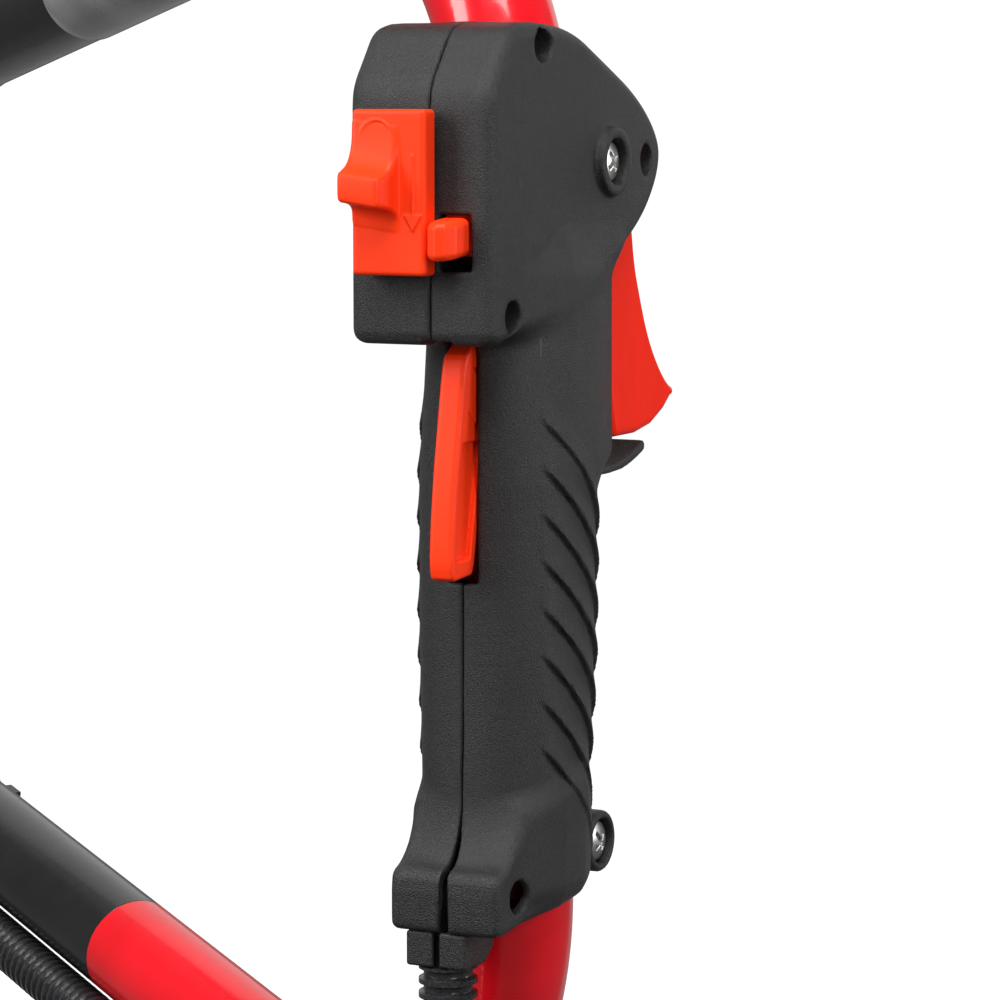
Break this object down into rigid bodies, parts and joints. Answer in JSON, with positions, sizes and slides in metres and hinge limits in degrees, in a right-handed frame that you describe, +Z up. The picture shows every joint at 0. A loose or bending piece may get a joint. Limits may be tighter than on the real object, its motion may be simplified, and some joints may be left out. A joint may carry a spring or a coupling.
{
  "type": "walk behind leaf blower control handle",
  "caption": "Bent tube loop handle with bolted legs, carrying a split throttle grip with trigger, palm lockout, stop slider, idle lock and cable conduit.",
  "frame": {"origin": "centre of the cross bolt hole in the lower leg's end", "axes": "+X from the bolt holes to the grip, +Y along the bolt holes, +Z up"},
  "size_m": [0.3634, 0.1044, 0.317],
  "materials": {
    "red_paint": "glossy red powder coat",
    "black_paint": "satin black powder coat",
    "clear_film": "smoky protective film",
    "shell_plastic": "fine spark-textured black nylon",
    "orange_plastic": "smooth orange-red moulding",
    "black_plastic": "smooth black moulding",
    "conduit_plastic": "corrugated black polyamide",
    "zinc_steel": "zinc-plated steel",
    "spring_steel": "bright spring wire",
    "brass": "plain brass",
    "wire_insulation": "soft PVC"
  },
  "bodies": {
    "handle": {"loop_tube": "red_paint", "upper_leg": "black_paint", "lower_leg": "black_paint", "joint_sleeves": "zinc_steel", "leg_bushes": "zinc_steel", "leg_rivets": "black_paint", "leg_sleeve": "clear_film", "upper_end_plug": "black_plastic", "lower_end_plug": "black_plastic", "top_collar": "black_plastic", "left_shell": "shell_plastic", "right_shell": "shell_plastic", "shell_screws": "zinc_steel", "head_screw": "zinc_steel", "clamp_screw": "zinc_steel", "clamp_nut": "zinc_steel", "trigger_pin": "zinc_steel", "trigger_spring": "spring_steel", "lockout_pin": "zinc_steel", "lockout_spring": "spring_steel", "switch_base": "black_plastic", "contact_strips": "brass", "cable_stop": "zinc_steel", "cable_sheath": "black_plastic", "cable_end": "zinc_steel", "gland_left": "black_plastic", "gland_right": "black_plastic", "conduit": "conduit_plastic", "cable_ties": "black_plastic", "stop_wires": "wire_insulation", "wire_connectors": "zinc_steel"},
    "trigger": {"trigger": "orange_plastic"},
    "lockout_lever": {"lockout_lever": "orange_plastic"},
    "stop_slider": {"stop_slider": "orange_plastic", "stop_bridge": "brass"},
    "throttle_lock": {"throttle_lock": "orange_plastic"},
    "throttle_wire": {"throttle_wire": "spring_steel", "cable_nipple": "brass"}
  },
  "joints": [
    {"name": "trigger_pull", "type": "hinge", "parent": "handle", "child": "trigger", "pos_m": [0.288, 0.02078, 0.16469], "axis": [-0.866, -0.5, 0], "range_deg": [0, 18], "stiffness_Nm_per_rad": 0.6, "springref_deg": -17.19},
    {"name": "lockout_press", "type": "hinge", "parent": "handle", "child": "lockout_lever", "pos_m": [0.30975, -0.01689, 0.13569], "axis": [0.866, 0.5, 0], "range_deg": [0, 11], "stiffness_Nm_per_rad": 0.3, "springref_deg": -17.19},
    {"name": "stop_slide", "type": "slide", "parent": "handle", "child": "stop_slider", "axis": [0, 0, -1], "range_m": [0, 0.004]},
    {"name": "lock_slide", "type": "slide", "parent": "handle", "child": "throttle_lock", "axis": [0, 0, -1], "range_m": [0, 0.0025]},
    {"name": "wire_pull", "type": "slide", "parent": "handle", "child": "throttle_wire", "axis": [0, 0, 1], "range_m": [0, 0.0118]}
  ],
  "couplings": [
    {"joint": "wire_pull", "follows": "trigger_pull", "m_per_rad": 0.03715}
  ]
}
